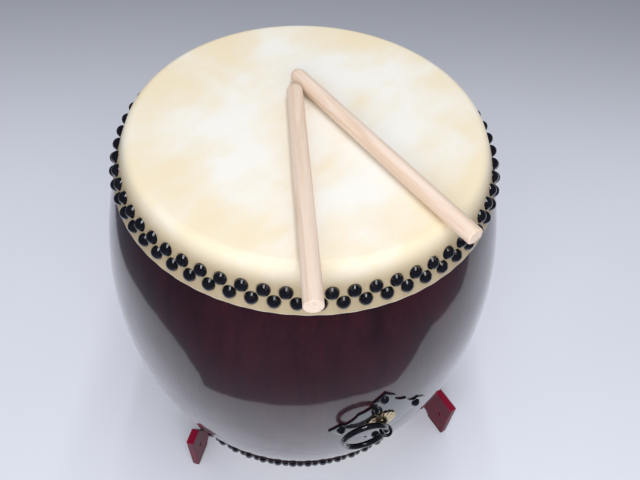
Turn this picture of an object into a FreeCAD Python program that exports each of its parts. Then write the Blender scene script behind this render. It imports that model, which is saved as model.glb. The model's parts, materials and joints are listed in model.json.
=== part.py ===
import FreeCAD, Part
import math
import os
import Sketcher

# A nagado taiko standing upright on a low stand of crossed boards, with two sticks on its head.
# Millimetres. +Z is up and the floor is z = 0. The origin is under the middle of the whole object.
# The two ring fittings lie on the drum's Y axis, the front one towards -Y.

SIZES = {
    # drum
    "drum_height": 586,             # over both skins
    "belly_radius": 302,            # wood, at mid height
    "wood_end_radius": 234,         # wood, at the ends, before the shoulder is rounded
    "wall_at_belly": 28,
    "wall_at_mouth": 20,
    "shoulder_round": 11.5,         # wood's outer edge under the skin
    "mouth_round": 3,               # wood's inner edge under the skin
    # skins
    "skin_thickness": 2.4,
    "skin_side_gap": 0.2,           # between the skin's side and the wood
    "top_hem_depth": 60,            # from the head down to the cut edge
    "bottom_hem_depth": 55,         # the lower skin is cut closer to its tacks
    # tacks in the skins
    "tacks_per_row": 62,
    "outer_row_drop": 33,           # row nearer the head, below the head
    "inner_row_drop": 45.3,         # row nearer the hem
    "tack_turn": 2.5,               # degrees from +X to the first tack of the inner rows
    "tack_dome_radius": 8.7,
    "tack_dome_height": 7.5,
    "tack_shank_radius": 1.5,
    "tack_shank_length": 20,
    "tack_point_length": 4,
    # ring fittings
    "plate_half_diagonal": 75,
    "plate_thickness": 2,
    "plate_gap": 0.1,               # between the plate and the barrel
    "plate_straight": 24,           # straight edge beside each corner
    "plate_notch": 5,               # step inwards after the straight edge
    "plate_cusp": 3,                # how far the middle cusp stands out of the notch line
    "plate_scallop_radius": 40,
    "plate_tack_reach": 58,         # from the plate's middle
    "plate_tack_radius": 7,
    "plate_tack_height": 5.5,
    "washer_radius": 23,
    "washer_rim": 1.4,
    "washer_crown": 3.2,            # height at the foot of the boss
    "boss_radius": 8.6,
    "boss_height": 6.6,
    "petals": 16,
    "petal_notch": 1.6,             # radius of the cut between two petals
    "neck_radius": 4.75,
    "neck_clearance": 0.3,          # round the neck in the washer, plate and wall
    "eye_hole_radius": 5,
    "eye_bar_radius": 2.25,
    "eye_stand_off": 0.5,           # between the boss and the eye
    "leg_length": 30,
    "leg_width": 8,
    "leg_thickness": 2.5,
    "leg_gap": 0.3,                 # between the leg's tip and the wall
    "ring_radius": 31,              # to the middle of its bar
    "ring_bar_radius": 4.25,
    "ring_rest_angle": 5,           # degrees that the ring's far end turns towards the barrel
    # sticks
    "stick_length": 360,
    "stick_radius": 11.25,
    "stick_nose": 14,               # length of the rounded end
    "stick_edge": 2,                # rounding of the flat end
    "stick_gap": 0.3,               # between a stick and the skin
    "stick_1_nose_x": 4.2,          # from the drum's axis
    "stick_1_nose_y": 64.3,
    "stick_1_angle": 72.7,          # degrees from +X
    "stick_2_nose_x": 14.2,
    "stick_2_nose_y": 93.9,
    "stick_2_angle": 103.7,
    # stand
    "board_height": 99,
    "board_thickness": 13,
    "board_chamfer": 1.5,
    "seat_height": 42,              # floor to the drum's lower skin
    "board_front_reach": 600,       # from where the boards cross
    "board_rear_reach": 50,
    "board_half_angle": 23.45,      # degrees between each board and the stand's middle line
    "stand_turn": 13.45,            # degrees clockwise from +Y to the stand's middle line
    "front_end_inset": 20.9,        # how much less the boards reach ahead of the drum's axis than a lug
    "cross_aside": 19.1,            # from the middle line to the crossing, to the right
    "lug_gap_low": 13,              # lug's inner edge to the skin, at the seat
    "lug_gap_high": 9.5,            # the same, at the lug's top
    "pad_depth": 30.71,             # how far the seat's pads reach in under the skin's edge
    "pad_relief": 5,                # how much lower the board is between the pads
    "pad_slope": 4,
    "front_foot": 41,
    "rear_foot": 92,
    "foot_relief": 12,              # height of the space under the board, and its cove's radius
    "cord_hole_radius": 3.5,        # small hole near the front end
    "cord_hole_from_end": 20,
    "cord_hole_height": 50,
    "joint_clearance": 0.15,        # at each side of a halved joint
    "stretcher_overhang": 22.15,    # past the middle of each board
    "stretcher_thickness": 14,
    "stretcher_ahead": 59.4,        # from the drum's axis, along the middle line
}

# Worked-out sizes, each from the driving ones and from those above it.
LAYOUT = [
    ("half_drum", "sizes.drum_height / 2"),
    ("half_wood", "half_drum - sizes.skin_thickness"),
    ("barrel_sag", "sizes.belly_radius - sizes.wood_end_radius"),
    ("barrel_arc", "(half_wood ^ 2 + barrel_sag ^ 2) / (2 * barrel_sag)"),
    ("barrel_arc_centre", "sizes.belly_radius - barrel_arc"),
    ("inner_belly", "sizes.belly_radius - sizes.wall_at_belly"),
    ("inner_mouth", "sizes.wood_end_radius - sizes.wall_at_mouth"),
    ("inner_sag", "inner_belly - inner_mouth"),
    ("inner_arc", "(half_wood ^ 2 + inner_sag ^ 2) / (2 * inner_sag)"),
    ("inner_arc_centre", "inner_belly - inner_arc"),
    ("skin_inner_arc", "barrel_arc + sizes.skin_side_gap"),
    ("skin_outer_arc", "skin_inner_arc + sizes.skin_thickness"),
    ("top_hem_level", "half_drum - sizes.top_hem_depth"),
    ("bottom_hem_level", "half_drum - sizes.bottom_hem_depth"),
    ("skin_shoulder_round", "sizes.shoulder_round + sizes.skin_thickness"),
    ("tack_pitch", "360 / sizes.tacks_per_row"),
    ("drum_level", "sizes.seat_height + half_drum"),
    ("head_level", "sizes.seat_height + sizes.drum_height"),
    ("plate_inner_arc", "barrel_arc + sizes.plate_gap"),
    ("plate_outer_arc", "plate_inner_arc + sizes.plate_thickness"),
    ("plate_face", "sizes.belly_radius + sizes.plate_gap + sizes.plate_thickness"),
    ("plate_band", "sizes.plate_half_diagonal + 5"),
    ("neck_hole", "sizes.neck_radius + sizes.neck_clearance"),
    ("eye_mean_radius", "sizes.eye_hole_radius + sizes.eye_bar_radius"),
    ("eye_outer_radius", "eye_mean_radius + sizes.eye_bar_radius"),
    ("eye_reach", "plate_face + sizes.boss_height + sizes.eye_stand_off + eye_outer_radius"),
    ("leg_face", "inner_arc_centre + sqrt(inner_arc ^ 2 - sizes.leg_length ^ 2) - sizes.leg_gap"),
    ("leg_depth", "eye_reach - leg_face"),
    ("skin_end_radius", "barrel_arc_centre + sqrt(skin_outer_arc ^ 2 - half_drum ^ 2)"),
    ("lug_top_level", "drum_level - sizes.board_height"),
    ("lug_radius_low", "skin_end_radius + sizes.lug_gap_low"),
    ("lug_radius_high", "barrel_arc_centre + sqrt(skin_outer_arc ^ 2 - lug_top_level ^ 2)"
                        " + sizes.lug_gap_high"),
    ("pad_radius", "skin_end_radius - sizes.pad_depth"),
    ("cross_ahead", "sizes.board_front_reach - lug_radius_high + sizes.front_end_inset"),
    ("left_azimuth", "sizes.stand_turn + sizes.board_half_angle"),
    ("right_azimuth", "sizes.stand_turn - sizes.board_half_angle"),
    ("cross_x", "cross_ahead * sin(sizes.stand_turn) + sizes.cross_aside * cos(sizes.stand_turn)"),
    ("cross_y", "cross_ahead * cos(sizes.stand_turn) - sizes.cross_aside * sin(sizes.stand_turn)"),
    ("left_along", "cross_ahead * cos(sizes.board_half_angle)"
                   " + sizes.cross_aside * sin(sizes.board_half_angle)"),
    ("left_offset", "cross_ahead * sin(sizes.board_half_angle)"
                    " - sizes.cross_aside * cos(sizes.board_half_angle)"),
    ("right_along", "cross_ahead * cos(sizes.board_half_angle)"
                    " - sizes.cross_aside * sin(sizes.board_half_angle)"),
    ("right_offset", "cross_ahead * sin(sizes.board_half_angle)"
                     " + sizes.cross_aside * cos(sizes.board_half_angle)"),
    ("stretcher_reach", "cross_ahead + sizes.stretcher_ahead"),
    ("stretcher_spread", "stretcher_reach * tan(sizes.board_half_angle)"),
    ("rear_end", "cross_y + sizes.board_rear_reach * cos(right_azimuth)"
                 " + sizes.board_thickness / 2 * abs(sin(right_azimuth))"),
    ("front_end", "eye_reach + eye_outer_radius"),
    ("drum_y", "(front_end - rear_end) / 2"),
    ("web_level", "sizes.seat_height - sizes.pad_relief"),
    ("half_lap_level", "sizes.board_height / 2"),
    ("stretcher_lap_level", "(sizes.foot_relief + web_level) / 2"),
]


def number_cells(doc):
    """Put the driving dimensions into one sheet and the worked-out ones into another."""
    sizes = doc.addObject("Spreadsheet::Sheet", "sizes")
    for row, (alias, value) in enumerate(SIZES.items(), start=1):
        sizes.set("A%d" % row, alias)
        sizes.set("B%d" % row, str(value))
        sizes.setAlias("B%d" % row, alias)
    doc.recompute()
    layout = doc.addObject("Spreadsheet::Sheet", "layout")
    for row, (alias, formula) in enumerate(LAYOUT, start=1):
        layout.set("A%d" % row, alias)
        layout.set("B%d" % row, "=" + formula)
        layout.setAlias("B%d" % row, alias)
    doc.recompute()
    return layout


def value(layout, expression):
    """The number that an expression on the two sheets gives now."""
    result = layout.evalExpression(expression)
    return float(getattr(result, "Value", result))


def new_body(doc, name, several=False):
    """A named body; one that holds several separate solids is allowed to be a compound."""
    body = doc.addObject("PartDesign::Body", name)
    body.Label = name
    body.AllowCompound = several
    return body


def origin_feature(body, role):
    return [item for item in body.Origin.OriginFeatures if item.Role == role][0]


def new_sketch(body, name, plane, level="0"):
    """A sketch on one of the body's own planes, moved out along the plane's normal by a level."""
    sketch = body.newObject("Sketcher::SketchObject", name)
    sketch.AttachmentSupport = [(origin_feature(body, plane), "")]
    sketch.MapMode = "FlatFace"
    if level != "0":
        sketch.setExpression(".AttachmentOffset.Base.z", level)
    return sketch


def add_outline(layout, sketch, corners, arcs=None):
    """A closed outline through corners given as expressions.

    arcs maps the number of an edge to its radius and to the side that its centre lies on,
    1 for the left of the way from corner to corner and -1 for the right.
    """
    arcs = arcs or {}
    first = sketch.GeometryCount
    count = len(corners)
    points = [FreeCAD.Vector(value(layout, across), value(layout, up), 0) for across, up in corners]
    begins = []
    for edge in range(count):
        start = points[edge]
        stop = points[(edge + 1) % count]
        if edge not in arcs:
            sketch.addGeometry(Part.LineSegment(start, stop))
            begins.append(1)
            continue
        radius_text, side = arcs[edge]
        radius = value(layout, radius_text)
        chord = stop - start
        left = FreeCAD.Vector(-chord.y, chord.x, 0).normalize()
        rise = math.sqrt(radius ** 2 - (chord.Length / 2) ** 2)
        centre = (start + stop) * 0.5 + left * (side * rise)
        angles = [math.atan2(end.y - centre.y, end.x - centre.x) for end in (start, stop)]
        if side < 0:
            angles.reverse()
        circle = Part.Circle(centre, FreeCAD.Vector(0, 0, 1), radius)
        sketch.addGeometry(Part.ArcOfCircle(circle, angles[0], angles[1]))
        begins.append(1 if side > 0 else 2)
    for edge in range(count):
        after = (edge + 1) % count
        sketch.addConstraint(Sketcher.Constraint(
            "Coincident", first + edge, 3 - begins[edge], first + after, begins[after]))
    for edge, (across, up) in enumerate(corners):
        for kind, text, number in (("DistanceX", across, points[edge].x), ("DistanceY", up, points[edge].y)):
            index = sketch.addConstraint(Sketcher.Constraint(
                kind, -1, 1, first + edge, begins[edge], number))
            name = "%s_%d" % ("across" if kind == "DistanceX" else "up", first + edge)
            sketch.renameConstraint(index, name)
            sketch.setExpression("Constraints." + name, text)
        if edge in arcs:
            index = sketch.addConstraint(Sketcher.Constraint(
                "Radius", first + edge, value(layout, arcs[edge][0])))
            name = "radius_%d" % (first + edge)
            sketch.renameConstraint(index, name)
            sketch.setExpression("Constraints." + name, arcs[edge][0])


def add_circle(layout, sketch, across, up, radius):
    """A circle at a place and of a radius given as expressions."""
    centre = FreeCAD.Vector(value(layout, across), value(layout, up), 0)
    index = sketch.addGeometry(Part.Circle(centre, FreeCAD.Vector(0, 0, 1), value(layout, radius)))
    driven = (
        ("centre_across", Sketcher.Constraint("DistanceX", -1, 1, index, 3, centre.x), across),
        ("centre_up", Sketcher.Constraint("DistanceY", -1, 1, index, 3, centre.y), up),
        ("circle_radius", Sketcher.Constraint("Radius", index, value(layout, radius)), radius),
    )
    for name, constraint, text in driven:
        sketch.renameConstraint(sketch.addConstraint(constraint), name)
        sketch.setExpression("Constraints." + name, text)


def revolve(body, sketch, name, axis="V_Axis", angle="360", both_ways=False):
    """Turn a sketch about one of its own axes."""
    turned = body.newObject("PartDesign::Revolution", name)
    turned.Profile = sketch
    turned.ReferenceAxis = (sketch, [axis])
    turned.setExpression("Angle", angle)
    turned.Midplane = both_ways
    body.Document.recompute()
    return turned


def pad(body, sketch, name, length):
    """Thicken a sketch evenly to both sides."""
    made = body.newObject("PartDesign::Pad", name)
    made.Profile = sketch
    made.SideType = "Symmetric"
    made.setExpression("Length", length)
    body.Document.recompute()
    return made


def pocket(body, sketch, name, way):
    """Cut a sketch through the body: both ways, or only up or down from the sketch's level."""
    before = body.Shape.Volume
    cut = body.newObject("PartDesign::Pocket", name)
    cut.Profile = sketch
    cut.Type = "ThroughAll"
    cut.SideType = "Symmetric" if way == "both" else "One side"
    cut.Reversed = way == "up"
    body.Document.recompute()
    if not body.Shape.Volume < before - 0.001:
        raise RuntimeError("%s of %s cuts nothing" % (name, body.Label))
    return cut


def edges_where(shape, test):
    return ["Edge%d" % number for number, edge in enumerate(shape.Edges, start=1) if test(edge)]


def round_hoops(layout, body, name, level, radius, amount):
    """Round the body's circular edges of one radius at one level, above and below its middle."""
    height = abs(value(layout, level))
    wanted = value(layout, radius)

    def is_hoop(edge):
        curve = edge.Curve
        return (isinstance(curve, Part.Circle) and abs(curve.Radius - wanted) < 0.01
                and abs(abs(curve.Center.z) - height) < 0.01)

    fillet = body.newObject("PartDesign::Fillet", name)
    base = [item for item in body.Group if item.isDerivedFrom("PartDesign::Feature")][-2]
    fillet.Base = (base, edges_where(base.Shape, is_hoop))
    fillet.setExpression("Radius", amount)
    body.Document.recompute()


def pattern_round(body, original, name, count):
    """Repeat a feature round the body's Z axis."""
    pattern = body.newObject("PartDesign::PolarPattern", name)
    pattern.Originals = [original]
    pattern.Axis = (origin_feature(body, "Z_Axis"), [""])
    pattern.Angle = 360
    pattern.setExpression("Occurrences", count)
    body.Tip = pattern
    body.Document.recompute()


def place(layout, item, across, away, level, turn="0", about=(0, 0, 1)):
    """Put an object at a place and turn it, all by expressions; the turn is in degrees."""
    axis = FreeCAD.Vector(*about)
    degrees = value(layout, turn)
    item.Placement = FreeCAD.Placement(FreeCAD.Vector(0, 0, 0), FreeCAD.Rotation(axis, degrees))
    item.setExpression(".Placement.Base.x", across)
    item.setExpression(".Placement.Base.y", away)
    item.setExpression(".Placement.Base.z", level)
    if abs(degrees) > 0:
        item.setExpression(".Placement.Rotation.Angle", turn)
    item.Document.recompute()


def on_arc(arc, centre, level, outset="0"):
    """Expression for the distance from the axis of a barrel arc at a level."""
    return "(%s + sqrt((%s + %s) ^ 2 - (%s) ^ 2))" % (centre, arc, outset, level)


def body_shell(doc, layout):
    """Barrel turned and hollowed from one log, open at both mouths, with a hole for each split pin."""
    body = new_body(doc, "body_shell")
    profile = new_sketch(body, "barrel_profile", "XZ_Plane")
    add_outline(layout, profile, [
        ("layout.inner_mouth", "-layout.half_wood"),
        ("sizes.wood_end_radius", "-layout.half_wood"),
        ("sizes.wood_end_radius", "layout.half_wood"),
        ("layout.inner_mouth", "layout.half_wood"),
    ], {1: ("layout.barrel_arc", 1), 3: ("layout.inner_arc", -1)})
    revolve(body, profile, "barrel")
    round_hoops(layout, body, "shoulders", "layout.half_wood", "sizes.wood_end_radius",
                "sizes.shoulder_round")
    round_hoops(layout, body, "mouths", "layout.half_wood", "layout.inner_mouth", "sizes.mouth_round")
    holes = new_sketch(body, "neck_hole_circle", "XZ_Plane")
    add_circle(layout, holes, "0", "0", "layout.neck_hole")
    pocket(body, holes, "neck_holes", "both")
    place(layout, body, "0", "layout.drum_y", "layout.drum_level")
    return body


def skin(doc, layout, name, hem_level, turn):
    """Rawhide head with its side drawn down the barrel to a cut hem; the lower one is turned over."""
    body = new_body(doc, name)
    profile = new_sketch(body, name + "_profile", "XZ_Plane")
    centre = "layout.barrel_arc_centre"
    add_outline(layout, profile, [
        ("0", "layout.half_wood"),
        (on_arc("layout.skin_inner_arc", centre, "layout.half_wood"), "layout.half_wood"),
        (on_arc("layout.skin_inner_arc", centre, hem_level), hem_level),
        (on_arc("layout.skin_outer_arc", centre, hem_level), hem_level),
        (on_arc("layout.skin_outer_arc", centre, "layout.half_drum"), "layout.half_drum"),
        ("0", "layout.half_drum"),
    ], {1: ("layout.skin_inner_arc", -1), 3: ("layout.skin_outer_arc", 1)})
    revolve(body, profile, name + "_cup")
    round_hoops(layout, body, name + "_inner_shoulder", "layout.half_wood",
                on_arc("layout.skin_inner_arc", centre, "layout.half_wood"), "sizes.shoulder_round")
    round_hoops(layout, body, name + "_outer_shoulder", "layout.half_drum",
                on_arc("layout.skin_outer_arc", centre, "layout.half_drum"), "layout.skin_shoulder_round")
    place(layout, body, "0", "layout.drum_y", "layout.drum_level", turn, (1, 0, 0))
    return body


def tack_outline(layout, sketch, dome_radius, dome_height):
    """Half of a domed tack along the sketch's X axis, its dome seated at the sketch's origin."""
    add_outline(layout, sketch, [
        ("-sizes.tack_shank_length", "0"),
        (dome_height, "0"),
        ("0", dome_radius),
        ("0", "sizes.tack_shank_radius"),
        ("-sizes.tack_shank_length + sizes.tack_point_length", "sizes.tack_shank_radius"),
    ], {1: ("(%s ^ 2 + %s ^ 2) / (2 * %s)" % (dome_radius, dome_height, dome_height), 1)})


def tack_row(doc, layout, name, drop, end, turn):
    """One row of domed tacks round a skin, square to the barrel; end is 1 for the top skin, -1 below."""
    body = new_body(doc, name, several=True)
    sketch = new_sketch(body, name + "_profile", "XZ_Plane")
    level = "(%d * (layout.half_drum - %s))" % (end, drop)
    lean = "asin(%s / layout.skin_outer_arc)" % level
    sketch.AttachmentOffset = FreeCAD.Placement(
        FreeCAD.Vector(0, 0, 0), FreeCAD.Rotation(FreeCAD.Vector(0, 0, 1), value(layout, lean)))
    sketch.setExpression(".AttachmentOffset.Base.x",
                         on_arc("layout.skin_outer_arc", "layout.barrel_arc_centre", level))
    sketch.setExpression(".AttachmentOffset.Base.y", level)
    sketch.setExpression(".AttachmentOffset.Rotation.Angle", lean)
    tack_outline(layout, sketch, "sizes.tack_dome_radius", "sizes.tack_dome_height")
    first = revolve(body, sketch, name + "_tack", "H_Axis")
    pattern_round(body, first, name + "_row", "sizes.tacks_per_row")
    place(layout, body, "0", "layout.drum_y", "layout.drum_level", turn)
    return body


def plate_corners():
    """Corners of the diamond plate and its scalloped edges, one side after the other."""
    diagonal = "sizes.plate_half_diagonal"
    side = "(%s * sqrt(2))" % diagonal
    straight = "sizes.plate_straight"
    notch = "sizes.plate_notch"
    along_and_in = [
        ("0", "0"),
        (straight, "0"),
        (straight, notch),
        (side + " / 2", "(%s - sizes.plate_cusp)" % notch),
        ("(%s - %s)" % (side, straight), notch),
        ("(%s - %s)" % (side, straight), "0"),
    ]
    corners = []
    scallops = {}
    for quarter in range(4):
        for along, inwards in along_and_in:
            across = "(%s - (%s + %s) / sqrt(2))" % (diagonal, along, inwards)
            up = "((%s - %s) / sqrt(2))" % (along, inwards)
            turned = [(across, up), ("-" + up, across), ("-" + across, "-" + up), (up, "-" + across)]
            corners.append(turned[quarter])
        first = quarter * len(along_and_in)
        scallops[first + 2] = ("sizes.plate_scallop_radius", -1)
        scallops[first + 3] = ("sizes.plate_scallop_radius", -1)
    return corners, scallops


def ring_plate(doc, layout, name, turn):
    """Diamond plate bent to the barrel, with a hole for the split pin's neck."""
    body = new_body(doc, name)
    band = new_sketch(body, name + "_section", "YZ_Plane")
    centre = "layout.barrel_arc_centre"
    inner = "-" + on_arc("layout.plate_inner_arc", centre, "layout.plate_band")
    outer = "-" + on_arc("layout.plate_outer_arc", centre, "layout.plate_band")
    add_outline(layout, band, [
        (inner, "-layout.plate_band"),
        (inner, "layout.plate_band"),
        (outer, "layout.plate_band"),
        (outer, "-layout.plate_band"),
    ], {0: ("layout.plate_inner_arc", -1), 2: ("layout.plate_outer_arc", 1)})
    revolve(body, band, name + "_band", angle="2 * asin(layout.plate_band / sizes.belly_radius)",
            both_ways=True)
    around = new_sketch(body, name + "_outline", "XZ_Plane")
    edge = "(2 * layout.plate_band)"
    add_outline(layout, around, [
        ("-" + edge, "-" + edge), (edge, "-" + edge), (edge, edge), ("-" + edge, edge)])
    corners, scallops = plate_corners()
    add_outline(layout, around, corners, scallops)
    pocket(body, around, name + "_trim", "both")
    hole = new_sketch(body, name + "_hole_circle", "XZ_Plane")
    add_circle(layout, hole, "0", "0", "layout.neck_hole")
    pocket(body, hole, name + "_hole", "both")
    place(layout, body, "0", "layout.drum_y", "layout.drum_level", turn)
    return body


def plate_tacks(doc, layout, name, turn):
    """Four domed tacks, one in each corner of a plate, square to the plate where they sit."""
    body = new_body(doc, name, several=True)
    reach = "sizes.plate_tack_reach"
    lean = "(asin(%s / layout.plate_outer_arc) / 1 deg)" % reach
    upright = on_arc("layout.plate_outer_arc", "layout.barrel_arc_centre", reach)
    swing = "(asin(%s / layout.plate_face) / 1 deg)" % reach
    for word, sign in (("upper", 1), ("lower", -1)):
        sketch = body.newObject("Sketcher::SketchObject", "%s_%s_profile" % (name, word))
        sketch.AttachmentSupport = [(origin_feature(body, "YZ_Plane"), "")]
        sketch.MapMode = "FlatFace"
        angle = "180 - %d * %s" % (sign, lean)
        sketch.AttachmentOffset = FreeCAD.Placement(
            FreeCAD.Vector(0, 0, 0), FreeCAD.Rotation(FreeCAD.Vector(0, 0, 1), value(layout, angle)))
        sketch.setExpression(".AttachmentOffset.Base.x", "-" + upright)
        sketch.setExpression(".AttachmentOffset.Base.y", "%d * %s" % (sign, reach))
        sketch.setExpression(".AttachmentOffset.Rotation.Angle", angle)
        tack_outline(layout, sketch, "sizes.plate_tack_radius", "sizes.plate_tack_height")
        revolve(body, sketch, "%s_%s_tack" % (name, word), "H_Axis")
    for word, sign in (("right", 1), ("left", -1)):
        sketch = body.newObject("Sketcher::SketchObject", "%s_%s_profile" % (name, word))
        sketch.AttachmentSupport = [(origin_feature(body, "XY_Plane"), "")]
        sketch.MapMode = "FlatFace"
        angle = "-90 + %d * %s" % (sign, swing)
        sketch.AttachmentOffset = FreeCAD.Placement(
            FreeCAD.Vector(0, 0, 0), FreeCAD.Rotation(FreeCAD.Vector(0, 0, 1), value(layout, angle)))
        sketch.setExpression(".AttachmentOffset.Base.x", "%d * %s" % (sign, reach))
        sketch.setExpression(".AttachmentOffset.Base.y", "-layout.plate_face * cos(%s)" % swing)
        sketch.setExpression(".AttachmentOffset.Rotation.Angle", angle)
        tack_outline(layout, sketch, "sizes.plate_tack_radius", "sizes.plate_tack_height")
        revolve(body, sketch, "%s_%s_tack" % (name, word), "H_Axis")
    place(layout, body, "0", "layout.drum_y", "layout.drum_level", turn)
    return body


def ring_washer(doc, layout, name, side):
    """Chrysanthemum washer: a domed disc with petal ends cut in its rim and a boss round the neck."""
    body = new_body(doc, name)
    profile = new_sketch(body, name + "_profile", "XZ_Plane")
    add_outline(layout, profile, [
        ("layout.neck_hole", "0"),
        ("sizes.washer_radius", "0"),
        ("sizes.washer_radius", "sizes.washer_rim"),
        ("sizes.boss_radius", "sizes.washer_crown"),
        ("sizes.boss_radius", "sizes.boss_height"),
        ("layout.neck_hole", "sizes.boss_height"),
    ], {2: ("2 * sizes.washer_radius", 1)})
    revolve(body, profile, name + "_dome")
    notch = new_sketch(body, name + "_notch_circle", "XY_Plane")
    add_circle(layout, notch, "sizes.washer_radius", "0", "sizes.petal_notch")
    cut = pocket(body, notch, name + "_notch", "both")
    pattern_round(body, cut, name + "_petals", "sizes.petals")
    place(layout, body, "0", "layout.drum_y + %d * layout.plate_face" % side, "layout.drum_level",
          "%d" % (-90 * side), (1, 0, 0))
    return body


def ring_eye(doc, layout, name, side, turn):
    """Split pin: an eye with an upright hole, its neck through the wall and two legs opened inside."""
    loop = doc.addObject("Part::Torus", name + "_loop")
    loop.setExpression("Radius1", "layout.eye_mean_radius")
    loop.setExpression("Radius2", "sizes.eye_bar_radius")
    neck_start = "layout.eye_mean_radius"
    neck = doc.addObject("Part::Cylinder", name + "_neck")
    neck.setExpression("Radius", "sizes.neck_radius")
    neck.setExpression("Height", "layout.leg_depth + sizes.leg_thickness - " + neck_start)
    place(layout, neck, "0", neck_start, "0", "-90", (1, 0, 0))
    pieces = [loop, neck]
    for word, level in (("upper", "0"), ("lower", "-sizes.leg_length")):
        leg = doc.addObject("Part::Box", "%s_%s_leg" % (name, word))
        leg.setExpression("Length", "sizes.leg_width")
        leg.setExpression("Width", "sizes.leg_thickness")
        leg.setExpression("Height", "sizes.leg_length")
        place(layout, leg, "-sizes.leg_width / 2", "layout.leg_depth", level)
        pieces.append(leg)
    eye = doc.addObject("Part::MultiFuse", name)
    eye.Label = name
    eye.Shapes = pieces
    eye.Refine = True
    doc.recompute()
    place(layout, eye, "0", "layout.drum_y + %d * layout.eye_reach" % side, "layout.drum_level", turn)
    return eye


def ring(doc, layout, name, side, turn):
    """Round ring threaded through the eye, standing upright and lying to one side of it."""
    body = new_body(doc, name)
    sketch = new_sketch(body, name + "_bar", "XY_Plane")
    add_circle(layout, sketch, "0", "0", "sizes.ring_bar_radius")
    top = FreeCAD.Vector(-value(layout, "sizes.ring_radius"), 10, 0)
    bottom = FreeCAD.Vector(top.x, -10, 0)
    axis = sketch.addGeometry(Part.LineSegment(bottom, top), True)
    sketch.addConstraint(Sketcher.Constraint("Vertical", axis))
    index = sketch.addConstraint(Sketcher.Constraint("DistanceX", -1, 1, axis, 1, top.x))
    sketch.renameConstraint(index, "ring_axis")
    sketch.setExpression("Constraints.ring_axis", "-sizes.ring_radius")
    revolve(body, sketch, name + "_turn", "Axis0")
    place(layout, body, "0", "layout.drum_y + %d * layout.eye_reach" % side, "layout.drum_level", turn)
    return body


def stick(doc, layout, name, nose_x, nose_y, angle):
    """Turned stick lying on the head: flat at the held end, rounded at the striking end."""
    body = new_body(doc, name)
    profile = new_sketch(body, name + "_profile", "XZ_Plane")
    radius = "sizes.stick_radius"
    add_outline(layout, profile, [
        ("0", "0"),
        ("sizes.stick_length", "0"),
        ("sizes.stick_length - sizes.stick_nose", radius),
        ("sizes.stick_edge", radius),
        ("0", "%s - sizes.stick_edge" % radius),
    ], {
        1: ("(sizes.stick_nose ^ 2 + %s ^ 2) / (2 * %s)" % (radius, radius), 1),
        3: ("sizes.stick_edge", 1),
    })
    revolve(body, profile, name + "_turn", "H_Axis")
    place(layout, body,
          "%s - sizes.stick_length * cos(%s)" % (nose_x, angle),
          "layout.drum_y + %s - sizes.stick_length * sin(%s)" % (nose_y, angle),
          "layout.head_level + sizes.stick_radius + sizes.stick_gap", angle)
    return body


def slot_corners(across, half_width, half_length, angle):
    """Corners of a slanted slot in plan, its middle on the board's centre plane."""
    corners = []
    for along, aside in ((-1, -1), (1, -1), (1, 1), (-1, 1)):
        run = "(%d * %s)" % (along, half_length)
        offset = "(%d * %s)" % (aside, half_width)
        corners.append((
            "%s + %s * cos(%s) - %s * sin(%s)" % (across, run, angle, offset, angle),
            "%s * sin(%s) + %s * cos(%s)" % (run, angle, offset, angle),
        ))
    return corners


def board_outline(layout, sketch, along, offset):
    """Side of a board, from its front foot over the lug, the seat and the rear lug to the rear foot."""
    inner_face = "(%s - sizes.board_thickness / 2)" % offset

    def chord(radius, distance):
        return "sqrt(%s ^ 2 - %s ^ 2)" % (radius, distance)

    low = chord("layout.lug_radius_low", inner_face)
    high = chord("layout.lug_radius_high", inner_face)
    pad_end = chord("layout.pad_radius", offset)
    seat = "sizes.seat_height"
    top = "sizes.board_height"
    relief = "sizes.foot_relief"
    front = "-sizes.board_front_reach"
    rear = "sizes.board_rear_reach"
    add_outline(layout, sketch, [
        (front, "0"),
        ("%s + sizes.front_foot" % front, "0"),
        ("%s + sizes.front_foot + %s" % (front, relief), relief),
        ("%s - sizes.rear_foot - %s" % (rear, relief), relief),
        ("%s - sizes.rear_foot" % rear, "0"),
        (rear, "0"),
        (rear, top),
        ("-%s + %s" % (along, high), top),
        ("-%s + %s" % (along, low), seat),
        ("-%s + %s" % (along, pad_end), seat),
        ("-%s + %s - sizes.pad_slope" % (along, pad_end), "layout.web_level"),
        ("-%s - %s + sizes.pad_slope" % (along, pad_end), "layout.web_level"),
        ("-%s - %s" % (along, pad_end), seat),
        ("-%s - %s" % (along, low), seat),
        ("-%s - %s" % (along, high), top),
        (front, top),
    ], {1: (relief, -1), 3: (relief, -1)})


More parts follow.
